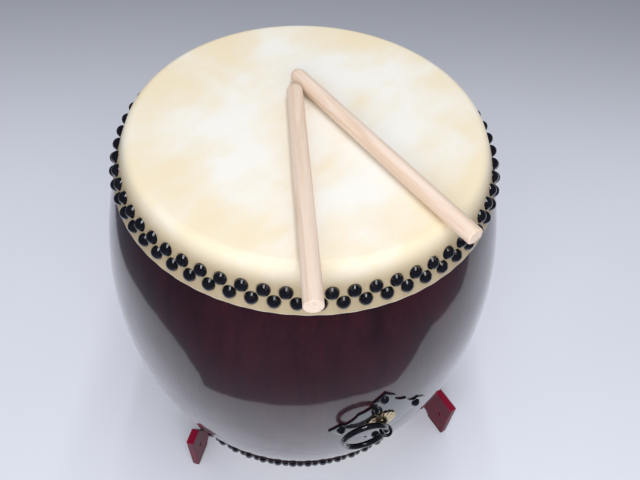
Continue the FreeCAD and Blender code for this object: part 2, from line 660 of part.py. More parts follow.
def stand_board(doc, layout, name, hand, along, offset, azimuth):
    """One board of the stand on edge; hand is 1 for the left board, -1 for the right one.

    The left board is slotted from above where the two cross, and the right one from below.
    """
    body = new_body(doc, name)
    side = new_sketch(body, name + "_side", "XZ_Plane")
    board_outline(layout, side, along, offset)
    plain = pad(body, side, name + "_plain", "sizes.board_thickness")
    half = value(layout, "sizes.board_thickness") / 2
    seat = value(layout, "sizes.seat_height")

    def is_outer_edge(edge):
        middle = edge.CenterOfMass
        on_face = all(abs(abs(point.Point.y) - half) < 0.01 for point in edge.Vertexes)
        level = abs(edge.Vertexes[0].Point.y - edge.Vertexes[-1].Point.y) < 0.01
        return on_face and level and middle.z > seat + 1

    chamfer = body.newObject("PartDesign::Chamfer", name + "_edges")
    chamfer.Base = (plain, edges_where(plain.Shape, is_outer_edge))
    chamfer.setExpression("Size", "sizes.board_chamfer")
    doc.recompute()

    hole = new_sketch(body, name + "_hole_circle", "XZ_Plane")
    add_circle(layout, hole, "-sizes.board_front_reach + sizes.cord_hole_from_end",
               "sizes.cord_hole_height", "sizes.cord_hole_radius")
    pocket(body, hole, name + "_hole", "both")

    cross = new_sketch(body, name + "_cross_plan", "XY_Plane", "layout.half_lap_level")
    add_outline(layout, cross, slot_corners(
        "0", "(sizes.board_thickness / 2 + sizes.joint_clearance)", "(2 * sizes.board_thickness)",
        "(%d * 2 * sizes.board_half_angle)" % hand))
    pocket(body, cross, name + "_cross_slot", "up" if hand > 0 else "down")

    lap = new_sketch(body, name + "_lap_plan", "XY_Plane", "layout.stretcher_lap_level")
    add_outline(layout, lap, slot_corners(
        "-layout.stretcher_reach / cos(sizes.board_half_angle)",
        "(sizes.stretcher_thickness / 2 + sizes.joint_clearance)", "(2 * sizes.board_thickness)",
        "(%d * (sizes.board_half_angle - 90))" % hand))
    pocket(body, lap, name + "_lap_slot", "down")
    place(layout, body, "layout.cross_x", "layout.drum_y + layout.cross_y", "0", "90 - " + azimuth)
    return body


def stand_stretcher(doc, layout):
    """Bar under the drum, halved into both boards from below."""
    body = new_body(doc, "stand_stretcher")
    side = new_sketch(body, "stretcher_side", "XZ_Plane")
    half = "(layout.stretcher_spread + sizes.stretcher_overhang)"
    add_outline(layout, side, [
        ("-" + half, "sizes.foot_relief"),
        (half, "sizes.foot_relief"),
        (half, "layout.web_level"),
        ("-" + half, "layout.web_level"),
    ])
    pad(body, side, "stretcher_bar", "sizes.stretcher_thickness")
    for word, hand in (("left", 1), ("right", -1)):
        plan = new_sketch(body, "stretcher_%s_plan" % word, "XY_Plane", "layout.stretcher_lap_level")
        add_outline(layout, plan, slot_corners(
            "(%d * layout.stretcher_spread)" % -hand, "(sizes.board_thickness / 2 + sizes.joint_clearance)",
            "(2 * sizes.stretcher_thickness)", "(%d * (90 - sizes.board_half_angle))" % hand))
        pocket(body, plan, "stretcher_%s_slot" % word, "up")
    place(layout, body,
          "layout.cross_x - layout.stretcher_reach * sin(sizes.stand_turn)",
          "layout.drum_y + layout.cross_y - layout.stretcher_reach * cos(sizes.stand_turn)",
          "0", "-sizes.stand_turn")
    return body


def ring_fitting(doc, layout, word, side):
    """Everything of one ring fitting; side is -1 at the front and 1 at the rear."""
    turn = "0" if side < 0 else "180"
    swing = "-sizes.ring_rest_angle" if side < 0 else "180 - sizes.ring_rest_angle"
    return [
        ring_plate(doc, layout, word + "_ring_plate", turn),
        plate_tacks(doc, layout, word + "_ring_tacks", turn),
        ring_washer(doc, layout, word + "_ring_washer", side),
        ring_eye(doc, layout, word + "_ring_eye", side, turn),
        ring(doc, layout, word + "_ring", side, swing),
    ]


def all_pieces(doc, layout):
    """Every piece of the drum, its sticks and its stand."""
    inner_turn = "sizes.tack_turn"
    outer_turn = "sizes.tack_turn + layout.tack_pitch / 2"
    pieces = [
        body_shell(doc, layout),
        skin(doc, layout, "top_skin", "layout.top_hem_level", "0"),
        skin(doc, layout, "bottom_skin", "layout.bottom_hem_level", "180"),
        tack_row(doc, layout, "top_tacks_upper_row", "sizes.outer_row_drop", 1, outer_turn),
        tack_row(doc, layout, "top_tacks_lower_row", "sizes.inner_row_drop", 1, inner_turn),
        tack_row(doc, layout, "bottom_tacks_upper_row", "sizes.inner_row_drop", -1, inner_turn),
        tack_row(doc, layout, "bottom_tacks_lower_row", "sizes.outer_row_drop", -1, outer_turn),
    ]
    pieces += ring_fitting(doc, layout, "front", -1)
    pieces += ring_fitting(doc, layout, "rear", 1)
    for number in (1, 2):
        name = "stick_%d" % number
        pieces.append(stick(doc, layout, name, "sizes.%s_nose_x" % name, "sizes.%s_nose_y" % name,
                            "sizes.%s_angle" % name))
    pieces.append(stand_board(doc, layout, "stand_board_left", 1, "layout.left_along",
                              "layout.left_offset", "layout.left_azimuth"))
    pieces.append(stand_board(doc, layout, "stand_board_right", -1, "layout.right_along",
                              "layout.right_offset", "layout.right_azimuth"))
    pieces.append(stand_stretcher(doc, layout))
    return pieces


def check(doc, pieces):
    """Stop if any object failed or any piece is empty or broken."""
    doc.recompute()
    for item in doc.Objects:
        if "Invalid" in item.State or "Error" in item.State:
            raise RuntimeError("%s failed: %s" % (item.Label, item.State))
    for piece in pieces:
        if piece.Shape.isNull() or not piece.Shape.isValid():
            raise RuntimeError("%s has no sound shape" % piece.Label)


def write(pieces):
    """Write each piece to its own file and print its size."""
    os.makedirs("parts", exist_ok=True)
    whole = FreeCAD.BoundBox()
    for piece in pieces:
        shape = piece.Shape
        shape.exportStep("parts/%s.step" % piece.Label)
        whole.add(shape.BoundBox)
        print("%-24s %3d solid(s) %12.0f mm3" % (piece.Label, len(shape.Solids), shape.Volume))
    print("x %.1f to %.1f, y %.1f to %.1f, z %.1f to %.1f" % (
        whole.XMin, whole.XMax, whole.YMin, whole.YMax, whole.ZMin, whole.ZMax))


def main():
    doc = FreeCAD.newDocument("nagado_taiko")
    layout = number_cells(doc)
    pieces = all_pieces(doc, layout)
    check(doc, pieces)
    write(pieces)


main()
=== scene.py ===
import json
import math
import random

import bmesh
import bpy
from mathutils import Euler, Matrix, Vector


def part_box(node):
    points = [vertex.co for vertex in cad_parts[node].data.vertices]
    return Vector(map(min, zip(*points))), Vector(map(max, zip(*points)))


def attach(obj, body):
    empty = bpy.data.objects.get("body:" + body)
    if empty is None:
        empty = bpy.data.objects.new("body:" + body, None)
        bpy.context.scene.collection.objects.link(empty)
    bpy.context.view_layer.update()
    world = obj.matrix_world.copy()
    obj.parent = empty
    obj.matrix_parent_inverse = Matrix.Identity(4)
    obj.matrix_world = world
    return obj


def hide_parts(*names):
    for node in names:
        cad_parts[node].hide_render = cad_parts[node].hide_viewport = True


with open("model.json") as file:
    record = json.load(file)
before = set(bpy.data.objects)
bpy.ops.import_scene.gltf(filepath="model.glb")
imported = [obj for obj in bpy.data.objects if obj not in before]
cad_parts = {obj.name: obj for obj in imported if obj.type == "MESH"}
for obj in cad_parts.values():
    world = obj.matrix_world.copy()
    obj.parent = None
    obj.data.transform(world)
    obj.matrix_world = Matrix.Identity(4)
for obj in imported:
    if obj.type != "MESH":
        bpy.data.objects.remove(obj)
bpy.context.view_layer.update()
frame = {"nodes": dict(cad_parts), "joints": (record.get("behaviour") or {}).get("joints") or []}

bl_info = {
    "name": "Nagado Taiko",
    "version": (1, 0, 0),
    "blender": (4, 5, 0),
    "location": "3D View > Sidebar > Taiko",
    "description": "Dresses a nagado taiko, its ring fittings, sticks and stand, and sets a plain stage",
    "category": "Object",
}


def node_box(node):
    """Lowest and highest corner of a CAD node, as vectors."""
    low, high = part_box(node)
    return Vector(low), Vector(high)


BARREL_LOW, BARREL_HIGH = node_box("body_shell")
SKIN_LOW, SKIN_HIGH = node_box("top_skin")
LOWER_SKIN_LOW, LOWER_SKIN_HIGH = node_box("bottom_skin")

BELLY_RADIUS = (BARREL_HIGH.x - BARREL_LOW.x) / 2
DRUM_AXIS = Vector(((BARREL_LOW.x + BARREL_HIGH.x) / 2, (BARREL_LOW.y + BARREL_HIGH.y) / 2, 0))
MIDDLE = (BARREL_LOW.z + BARREL_HIGH.z) / 2
HALF_WOOD = (BARREL_HIGH.z - BARREL_LOW.z) / 2
HALF_DRUM = (SKIN_HIGH.z - LOWER_SKIN_LOW.z) / 2
WASHER_LOW, WASHER_HIGH = node_box("front_ring_washer")
PIN_CENTRE = (WASHER_LOW + WASHER_HIGH) / 2
PLATE_FACE = DRUM_AXIS.y - WASHER_HIGH.y
BOARD_TOP = node_box("stand_board_left")[1].z


# Properties that a user would change


def length(name, description, default):
    return bpy.props.FloatProperty(
        name=name, description=description, default=default, unit="LENGTH", precision=4)


def tint(name, description, default):
    return bpy.props.FloatVectorProperty(
        name=name, description=description, default=default, subtype="COLOR", size=3, min=0, max=1)


class TaikoDrumSizes(bpy.types.PropertyGroup):
    """Sizes of the barrel, its skins and its tacks."""

    wood_end_radius: length("Wood end radius", "Barrel's radius at its ends", 0.234)
    wall_at_belly: length("Wall at belly", "Thickness of the wall at mid height", 0.028)
    wall_at_mouth: length("Wall at mouth", "Thickness of the wall at the ends", 0.020)
    shoulder_round: length("Shoulder round", "Rounding of the wood under the skin", 0.0115)
    mouth_round: length("Mouth round", "Rounding of the wood's inner edge", 0.003)
    skin_gap: length("Skin gap", "Gap between the skin's side and the wood", 0.0002)
    tack_count: bpy.props.IntProperty(name="Tacks in a row", description="Tacks in each row", default=62)
    tack_turn: bpy.props.FloatProperty(
        name="First tack", description="Angle from +X to the first tack of the rows nearer the hem",
        default=math.radians(2.5), unit="ROTATION")
    outer_row_drop: length("Outer row", "From the head down to the tacks nearer it", 0.033)
    inner_row_drop: length("Inner row", "From the head down to the tacks nearer the hem", 0.0453)
    dome_radius: length("Dome radius", "Radius of a tack's dome", 0.0087)
    dome_height: length("Dome height", "Height of a tack's dome", 0.0075)
    shank_radius: length("Shank radius", "Radius of a tack's shank", 0.0015)
    shank_length: length("Shank length", "Length of a tack's shank", 0.020)


class TaikoFittingSizes(bpy.types.PropertyGroup):
    """Sizes of the ring fittings."""

    plate_bevel: length("Plate edge", "Rounding of the plate's edges", 0.0004)
    tack_reach: length("Tack reach", "From the plate's middle to a corner tack", 0.058)
    tack_radius: length("Tack radius", "Radius of a corner tack's dome", 0.007)
    tack_height: length("Tack height", "Height of a corner tack's dome", 0.0055)
    washer_rim: length("Washer rim", "Thickness of the washer's rim", 0.0014)
    washer_crown: length("Washer crown", "Height at the foot of the washer's boss", 0.0026)
    boss_radius: length("Boss radius", "Radius of the washer's boss", 0.0086)
    petals: bpy.props.IntProperty(name="Petals", description="Petals of the washer", default=16)
    neck_hole: length("Neck hole", "Radius of the hole for the split pin's neck", 0.00505)
    ring_bar: length("Ring bar", "Radius of the ring's bar", 0.00425)
    ring_radius: length("Ring radius", "Radius of the ring to the middle of its bar", 0.031)


class TaikoColours(bpy.types.PropertyGroup):
    """Colours of the finishes."""

    lacquer_dark: tint("Lacquer, dark grain", "Darker grain of the barrel", (0.0155, 0.0022, 0.0048))
    lacquer_light: tint("Lacquer, light grain", "Lighter grain of the barrel", (0.0335, 0.0042, 0.0085))
    hide: tint("Hide", "Main colour of the head", (0.885, 0.870, 0.825))
    hide_patch: tint("Hide patches", "Soft darker patches of the head", (0.860, 0.745, 0.540))
    hide_side: tint("Hide, side", "Colour where the hide is drawn down", (0.430, 0.345, 0.225))
    # Painted shade: the lower skin's side and cut edge are coloured dark where shade falls under the drum;
    # the hide is not stained
    hide_lower_painted_shade: tint("Hide, lower side", "The lower skin's side, stained dark", (0.050, 0.022, 0.030))
    hide_cut: tint("Hide, cut", "Cut edge of the hide", (0.860, 0.830, 0.770))
    iron: tint("Black iron", "Lacquered tacks and fittings", (0.0045, 0.0045, 0.0065))
    gilt: tint("Gilt", "Chrysanthemum washers", (0.960, 0.830, 0.560))
    furrow: tint("Furrows", "Brown in the furrows and on the boss of a washer", (0.110, 0.065, 0.030))
    stick: tint("Stick", "Main colour of the sticks", (0.830, 0.675, 0.565))
    stick_grain: tint("Stick grain", "Darker grain of the sticks", (0.725, 0.550, 0.420))
    stand_dark: tint("Stand, dark grain", "Darker grain of the boards", (0.075, 0.0055, 0.0170))
    stand_light: tint("Stand, light grain", "Lighter grain of the boards", (0.140, 0.0090, 0.0280))
    # Painted light: the boards' top edges are coloured brighter because light falls on them from above
    stand_top_painted_light: tint("Stand, top", "The boards' top edges", (0.270, 0.0085, 0.0360))
    floor: tint("Floor", "Plain pale floor", (0.770, 0.790, 0.880))
    # Painted shade: the floor is coloured darker well behind the drum, where less light falls
    floor_far_painted_shade: tint("Floor, far", "The floor well behind the drum", (0.420, 0.435, 0.490))
    # Painted reflection: the dim colour of stand-ins that only the gloss sees
    room: tint("Room", "What the gloss shows beyond the pale floor", (0.080, 0.085, 0.120))


class TaikoStage(bpy.types.PropertyGroup):
    """Camera and light."""

    lens: bpy.props.FloatProperty(name="Lens", description="Focal length in millimetres", default=34.44)
    camera_back: length("Camera back", "From the drum's axis to the camera, along the ground", 0.6333)
    camera_aside: length("Camera aside", "Camera's place to the left of the drum's axis", 0.0008)
    camera_up: length("Camera up", "From the head to the camera", 0.5240)
    camera_azimuth: bpy.props.FloatProperty(
        name="Camera azimuth", description="Where the camera stands, clockwise from -Y seen from above",
        default=math.radians(22.5), unit="ROTATION")
    pitch: bpy.props.FloatProperty(
        name="Pitch", description="How far the camera looks down", default=0.8802, unit="ROTATION")
    yaw: bpy.props.FloatProperty(
        name="Yaw", description="Turn to the right of the drum's axis", default=0.0427, unit="ROTATION")
    roll: bpy.props.FloatProperty(name="Roll", description="Camera's roll", default=0.0686, unit="ROTATION")
    sky: bpy.props.FloatProperty(name="Sky", description="Strength of the even light", default=0.47)
    lamp: bpy.props.FloatProperty(name="Lamps", description="Power of each overhead strip", default=9.6)
    front_lamp: bpy.props.FloatProperty(
        name="Front lamp", description="Power of the wide soft lamp behind the camera", default=21.0)


# Selecting and finishing


def deselect():
    if bpy.context.object and bpy.context.object.mode != "OBJECT":
        bpy.ops.object.mode_set(mode="OBJECT")
    bpy.ops.object.select_all(action="DESELECT")


def select_only(piece):
    deselect()
    piece.select_set(True)
    bpy.context.view_layer.objects.active = piece


def edit(piece, kind="VERT"):
    """Go into edit mode on one piece, with everything selected."""
    select_only(piece)
    bpy.ops.object.mode_set(mode="EDIT")
    bpy.ops.mesh.select_mode(type=kind)
    bpy.ops.mesh.select_all(action="SELECT")


def pick(piece, test):
    """Select in edit mode the points that pass a test of their place."""
    bpy.ops.mesh.select_all(action="DESELECT")
    mesh = bmesh.from_edit_mesh(piece.data)
    for point in mesh.verts:
        point.select_set(bool(test(point.co)))
    mesh.select_flush(True)
    bmesh.update_edit_mesh(piece.data)


def leave_edit():
    bpy.ops.object.mode_set(mode="OBJECT")


def settle(piece):
    """Put a piece's place into its mesh, so that its object sits at the origin."""
    select_only(piece)
    bpy.ops.object.transform_apply(location=True, rotation=True, scale=True)


def close_up(piece):
    """Merge doubled points and point every face outwards."""
    edit(piece)
    bpy.ops.mesh.remove_doubles(threshold=0.00001)
    bpy.ops.mesh.normals_make_consistent(inside=False)
    leave_edit()


def smooth(piece, degrees=40):
    select_only(piece)
    bpy.ops.object.shade_smooth_by_angle(angle=math.radians(degrees))


def join(pieces, name):
    """Join several pieces into one."""
    deselect()
    for piece in pieces:
        piece.select_set(True)
    bpy.context.view_layer.objects.active = pieces[0]
    bpy.ops.object.join()
    whole = bpy.context.object
    whole.name = name
    whole.data.name = name
    return whole


def copy_of(piece, name):
    """A copy with a mesh of its own."""
    other = piece.copy()
    other.data = piece.data.copy()
    other.name = name
    bpy.context.scene.collection.objects.link(other)
    return other


def dress(piece, material):
    piece.data.materials.clear()
    piece.data.materials.append(material)


def stand_for(piece, node, body, material):
    """Finish a piece that takes the place of a CAD node."""
    settle(piece)
    dress(piece, material)
    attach(piece, body)
    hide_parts(node)


# Drawing outlines and turning them


def draw(name, points):
    """An open line of edges, drawn point by point."""
    deselect()
    bpy.ops.mesh.primitive_plane_add(size=0.01, location=points[0])
    line = bpy.context.object
    line.name = name
    line.data.name = name
    edit(line)
    bpy.ops.mesh.merge(type="CENTER")
    for before, after in zip(points, points[1:]):
        bpy.ops.mesh.extrude_vertices_move(TRANSFORM_OT_translate={"value": after - before})
    leave_edit()
    settle(line)
    return line


def turn(line, steps, centre, axis=(0, 0, 1)):
    """Spin a line all the way round an axis into a closed shape."""
    edit(line)
    bpy.ops.mesh.spin(steps=steps, angle=2 * math.pi, center=centre, axis=axis)
    leave_edit()
    close_up(line)
    return line


def bow(centre, radius, start, stop, steps):
    """Points (across, up) on an arc, with its angles in radians."""
    points = []
    for step in range(steps + 1):
        angle = start + (stop - start) * step / steps
        points.append((centre[0] + radius * math.cos(angle), centre[1] + radius * math.sin(angle)))
    return points


def rounded(corner, before, after, radius, steps):
    """Points of an arc that rounds one corner between two straight ways, each given as a direction."""
    back = -Vector(before).normalized()
    ahead = Vector(after).normalized()
    half = back.angle(ahead) / 2
    reach = radius / math.tan(half)
    centre = Vector(corner) + (back + ahead).normalized() * (radius / math.sin(half))
    first = Vector(corner) + back * reach - centre
    last = Vector(corner) + ahead * reach - centre
    start = math.atan2(first.y, first.x)
    sweep = math.atan2(first.x * last.y - first.y * last.x, first.dot(last))
    return bow(centre, radius, start, start + sweep, steps)


class Barrel:
    """The barrel's outline: arcs worked out from its sizes, levels measured from mid height."""

    def __init__(self, sizes):
        sag = BELLY_RADIUS - sizes.wood_end_radius
        self.arc = (HALF_WOOD ** 2 + sag ** 2) / (2 * sag)
        self.centre = BELLY_RADIUS - self.arc
        inner_belly = BELLY_RADIUS - sizes.wall_at_belly
        inner_mouth = sizes.wood_end_radius - sizes.wall_at_mouth
        inner_sag = inner_belly - inner_mouth
        self.inner_arc = (HALF_WOOD ** 2 + inner_sag ** 2) / (2 * inner_sag)
        self.inner_centre = inner_belly - self.inner_arc
        self.inner_mouth = inner_mouth

    def radius(self, level, outset=0.0):
        return self.centre + math.sqrt((self.arc + outset) ** 2 - level ** 2)

    def inner_radius(self, level):
        return self.inner_centre + math.sqrt(self.inner_arc ** 2 - level ** 2)

    def slope(self, level):
        """How far the barrel's outward direction leans up at a level."""
        return math.asin(level / self.arc)


def on_axis(points):
    """Points (radius, level from mid height) placed in the plane of the drum's axis and +X."""
    return [DRUM_AXIS + Vector((radius, 0, MIDDLE + level)) for radius, level in points]


# Materials


class Finish:
    """A material under construction: its nodes, links and Principled shader."""

    def __init__(self, name):
        self.material = bpy.data.materials.new(name)
        self.material.use_nodes = True
        self.nodes = self.material.node_tree.nodes
        self.links = self.material.node_tree.links
        self.shader = self.nodes["Principled BSDF"]

    def set(self, **values):
        """Set shader sockets, such as roughness=0.3 or coat_weight=1."""
        for name, value in values.items():
            words = name.replace("_", " ")
            socket = [item for item in self.shader.inputs if item.name.lower() == words][0]
            socket.default_value = value

    def place(self, centre=(0, 0, 0), turn=(0, 0, 0), scale=(1, 1, 1)):
        """Object coordinates measured from a centre, turned and stretched."""
        source = self.nodes.new("ShaderNodeTexCoord")
        moved = self.nodes.new("ShaderNodeMapping")
        moved.vector_type = "TEXTURE"
        moved.inputs["Location"].default_value = centre
        moved.inputs["Rotation"].default_value = turn
        self.links.new(source.outputs["Object"], moved.inputs["Vector"])
        stretched = self.nodes.new("ShaderNodeMapping")
        stretched.inputs["Scale"].default_value = scale
        self.links.new(moved.outputs["Vector"], stretched.inputs["Vector"])
        return stretched.outputs["Vector"]

    def noise(self, vector, scale, detail=2.0, roughness=0.5, distortion=0.0):
        node = self.nodes.new("ShaderNodeTexNoise")
        node.inputs["Scale"].default_value = scale
        node.inputs["Detail"].default_value = detail
        node.inputs["Roughness"].default_value = roughness
        node.inputs["Distortion"].default_value = distortion
        self.links.new(vector, node.inputs["Vector"])
        return node.outputs["Fac"]

    def ramp(self, factor, low, high, start=(0, 0, 0), stop=(1, 1, 1), curve="EASE"):
        """A blend of two colours as the factor goes from low to high."""
        node = self.nodes.new("ShaderNodeValToRGB")
        node.color_ramp.interpolation = curve
        node.color_ramp.elements[0].position = low
        node.color_ramp.elements[0].color = (*start, 1)
        node.color_ramp.elements[1].position = high
        node.color_ramp.elements[1].color = (*stop, 1)
        self.links.new(factor, node.inputs["Fac"])
        return node.outputs["Color"]

    def span(self, value, low, high, start=0.0, stop=1.0):
        """A number carried from one range to another, held at its ends."""
        node = self.nodes.new("ShaderNodeMapRange")
        node.interpolation_type = "SMOOTHSTEP"
        node.inputs["From Min"].default_value = low
        node.inputs["From Max"].default_value = high
        node.inputs["To Min"].default_value = start
        node.inputs["To Max"].default_value = stop
        self.links.new(value, node.inputs["Value"])
        return node.outputs["Result"]

    def part(self, vector, axis):
        node = self.nodes.new("ShaderNodeSeparateXYZ")
        self.links.new(vector, node.inputs["Vector"])
        return node.outputs[axis]

    def length(self, vector):
        node = self.nodes.new("ShaderNodeVectorMath")
        node.operation = "LENGTH"
        self.links.new(vector, node.inputs[0])
        return node.outputs["Value"]

    def sum(self, first, second, operation="ADD"):
        node = self.nodes.new("ShaderNodeMath")
        node.operation = operation
        for number, value in enumerate((first, second)):
            if isinstance(value, (int, float)):
                node.inputs[number].default_value = value
            else:
                self.links.new(value, node.inputs[number])
        return node.outputs["Value"]

    def mix(self, factor, first, second, blend="MIX"):
        """Blend two colours; each is a socket or a plain colour."""
        node = self.nodes.new("ShaderNodeMix")
        node.data_type = "RGBA"
        node.blend_type = blend
        factor_socket, first_socket, second_socket = node.inputs[0], node.inputs[6], node.inputs[7]
        if isinstance(factor, (int, float)):
            factor_socket.default_value = factor
        else:
            self.links.new(factor, factor_socket)
        for value, socket in ((first, first_socket), (second, second_socket)):
            if isinstance(value, bpy.types.NodeSocket):
                self.links.new(value, socket)
            else:
                socket.default_value = (*value, 1)
        return node.outputs[2]

    def bump(self, height, depth, strength=1.0, below=None):
        """Bump of a depth in metres, over another bump if one is given."""
        node = self.nodes.new("ShaderNodeBump")
        node.inputs["Strength"].default_value = strength
        node.inputs["Distance"].default_value = depth
        self.links.new(height, node.inputs["Height"])
        if below:
            self.links.new(below, node.inputs["Normal"])
        return node.outputs["Normal"]

    def colour(self, socket):
        self.links.new(socket, self.shader.inputs["Base Color"])

    def roughness(self, socket):
        self.links.new(socket, self.shader.inputs["Roughness"])

    def normal(self, socket, coat=False):
        self.links.new(socket, self.shader.inputs["Normal"])
        if coat:
            self.links.new(socket, self.shader.inputs["Coat Normal"])


def barrel_lacquer(colours):
    """Dark stained wood with upright grain under a thick clear coat that is not quite flat."""
    finish = Finish("barrel_lacquer")
    grain_place = finish.place(centre=DRUM_AXIS, scale=(1, 1, 0.05))
    broad = finish.noise(grain_place, 22, 4, 0.6, 0.6)
    fine = finish.noise(grain_place, 240, 3, 0.6, 0.2)
    mixed = finish.sum(finish.sum(broad, 0.72, "MULTIPLY"), finish.sum(fine, 0.28, "MULTIPLY"))
    finish.colour(finish.ramp(mixed, 0.36, 0.64, colours.lacquer_dark, colours.lacquer_light))
    even = finish.place(centre=DRUM_AXIS)
    finish.roughness(finish.span(finish.noise(even, 9, 3), 0.3, 0.7, 0.30, 0.42))
    waves = finish.noise(finish.place(centre=DRUM_AXIS, scale=(1, 1, 0.35)), 14, 1.5, 0.4)
    peel = finish.noise(even, 260, 1, 0.5)
    finish.normal(finish.bump(peel, 0.000004, 1.0, finish.bump(waves, 0.00035)), coat=True)
    finish.set(specular_ior_level=0.25, coat_weight=1.0, coat_roughness=0.075, coat_ior=1.52)
    return finish.material


def rawhide(name, colours, side_colour, cut_colour, hem_depth):
    """Cream hide: warm patches, faint fibres, a colour for the drawn down side and one for the cut."""
    finish = Finish(name)
    even = finish.place(centre=DRUM_AXIS)
    patches = finish.noise(even, 5.2, 3, 0.55, 0.5)
    slant = finish.place(centre=DRUM_AXIS, turn=(0, 0, math.radians(25)), scale=(1, 2.4, 1))
    streaks = finish.noise(slant, 9, 4, 0.6)
    warm = finish.sum(finish.sum(patches, 0.7, "MULTIPLY"), finish.sum(streaks, 0.3, "MULTIPLY"))
    outwards = finish.length(finish.place(centre=DRUM_AXIS, scale=(1, 1, 0)))
    warm = finish.sum(warm, finish.span(outwards, 0.13, 0.235, 0.0, 0.12))
    head = finish.ramp(warm, 0.45, 0.72, colours.hide, colours.hide_patch)
    fibres = finish.noise(even, 420, 3, 0.7, 0.3)
    head = finish.mix(finish.span(fibres, 0.3, 0.8, 0.0, 0.10), head, colours.hide_patch, "MULTIPLY")
    drop = finish.sum(finish.sum(finish.part(even, "Z"), MIDDLE, "SUBTRACT"), 0.0, "ABSOLUTE")
    side = finish.span(drop, HALF_DRUM - 0.030, HALF_DRUM - 0.004, 1.0, 0.0)
    mottle = finish.noise(finish.place(centre=DRUM_AXIS, scale=(1, 1, 0.6)), 38, 4, 0.65)
    paler = [value * 1.12 for value in side_colour]
    drawn = finish.mix(finish.span(mottle, 0.35, 0.7), side_colour, paler)
    hem = HALF_DRUM - hem_depth
    cut = finish.span(drop, hem + 0.0003, hem + 0.0010, 1.0, 0.0)
    drawn = finish.mix(cut, drawn, cut_colour)
    finish.colour(finish.mix(side, head, drawn))
    finish.roughness(finish.span(fibres, 0.2, 0.8, 0.42, 0.58))
    swell = finish.noise(even, 11, 2, 0.5)
    finish.normal(finish.bump(fibres, 0.00003, 1.0, finish.bump(swell, 0.0004)))
    finish.set(specular_ior_level=0.35, sheen_weight=0.08, sheen_roughness=0.4)
    return finish.material


def black_iron(colours):
    """Black lacquered iron: deep gloss with a faint unevenness from the hammer."""
    finish = Finish("black_iron")
    even = finish.place()
    cloud = finish.noise(even, 90, 2, 0.5)
    finish.colour(finish.ramp(cloud, 0.3, 0.7, colours.iron, [value * 1.6 for value in colours.iron]))
    finish.roughness(finish.span(finish.noise(even, 300, 2), 0.3, 0.7, 0.14, 0.24))
    finish.normal(finish.bump(finish.noise(even, 55, 1.5, 0.5), 0.00006), coat=True)
    finish.set(specular_ior_level=0.15, coat_weight=1.0, coat_roughness=0.03, coat_ior=1.75)
    return finish.material


def gilding(colours):
    """Thin bright gilding on the washers, a little rubbed, and browner on the boss."""
    finish = Finish("gilding")
    even = finish.place()
    rub = finish.noise(even, 300, 3, 0.6)
    deep = [value * part for value, part in zip(colours.gilt, (0.88, 0.80, 0.66))]
    petals = finish.ramp(rub, 0.35, 0.65, deep, colours.gilt)
    across = finish.length(finish.place(centre=PIN_CENTRE, scale=(1, 0, 1)))
    boss = finish.span(across, 0.0082, 0.0094, 1.0, 0.0)
    finish.colour(finish.mix(boss, petals, [value * 0.35 for value in colours.furrow]))
    finish.roughness(finish.span(rub, 0.3, 0.7, 0.24, 0.40))
    finish.normal(finish.bump(finish.noise(even, 900, 2), 0.00002))
    finish.set(metallic=1.0)
    return finish.material


def furrow_brown(colours):
    """Dull brown that has gathered in the furrows between the petals."""
    finish = Finish("furrow_brown")
    speckle = finish.noise(finish.place(), 700, 2, 0.6)
    paler = [value * 1.8 for value in colours.furrow]
    finish.colour(finish.ramp(speckle, 0.35, 0.7, colours.furrow, paler))
    finish.set(roughness=0.5, metallic=0.4)
    return finish.material


def bare_wood(name, colours, centre, direction):
    """Pale bare wood of a stick, with fine pores along it and soft broad bands."""
    finish = Finish(name)
    heading = (0, 0, direction)
    bands = finish.noise(finish.place(centre=centre, turn=heading, scale=(0.06, 1, 1)), 95, 3, 0.55, 0.8)
    pores = finish.noise(finish.place(centre=centre, turn=heading, scale=(0.035, 1, 1)), 900, 2, 0.5)
    base = finish.ramp(bands, 0.35, 0.72, colours.stick, colours.stick_grain)
    dark = finish.span(pores, 0.60, 0.74, 0.0, 0.35)
    finish.colour(finish.mix(dark, base, colours.stick_grain, "MULTIPLY"))
    finish.roughness(finish.span(bands, 0.3, 0.7, 0.46, 0.58))
    finish.normal(finish.bump(pores, 0.00004))
    finish.set(specular_ior_level=0.4)
    return finish.material


def stand_lacquer(name, colours, centre, direction):
    """Crimson stained boards under clear lacquer, the grain along each board, with painted light that makes
    their top edges brighter.
    """
    finish = Finish(name)
    along = finish.place(centre=centre, turn=(0, 0, direction), scale=(0.07, 1, 1))
    bands = finish.noise(along, 60, 4, 0.6, 0.7)
    faces = finish.ramp(bands, 0.34, 0.66, colours.stand_dark, colours.stand_light)
    # Painted light: the top edges are brighter where light falls on them
    top = finish.span(finish.part(finish.place(), "Z"), BOARD_TOP - 0.0022, BOARD_TOP - 0.0010)
    finish.colour(finish.mix(top, faces, colours.stand_top_painted_light))
    finish.roughness(finish.span(bands, 0.3, 0.7, 0.40, 0.50))
    finish.normal(finish.bump(finish.noise(finish.place(), 30, 2), 0.00015), coat=True)
    finish.set(specular_ior_level=0.12, coat_weight=0.14, coat_roughness=0.08, coat_ior=1.5)
    return finish.material


def floor_finish(colours, stage):
    """Even pale floor with the faintest cloudiness, and painted shade that makes it a little darker well
    behind the drum.
    """
    finish = Finish("pale_floor")
    cloud = finish.noise(finish.place(), 1.3, 2, 0.5)
    paler = [min(value * 1.03, 1) for value in colours.floor]
    near = finish.ramp(cloud, 0.3, 0.7, colours.floor, paler)
    away = finish.part(finish.place(centre=DRUM_AXIS, turn=(0, 0, -stage.camera_azimuth)), "Y")
    # Painted shade darkens the floor well behind the drum
    finish.colour(finish.mix(finish.span(away, 0.35, 1.7), near, colours.floor_far_painted_shade))
    finish.set(roughness=0.6, specular_ior_level=0.2)
    return finish.material


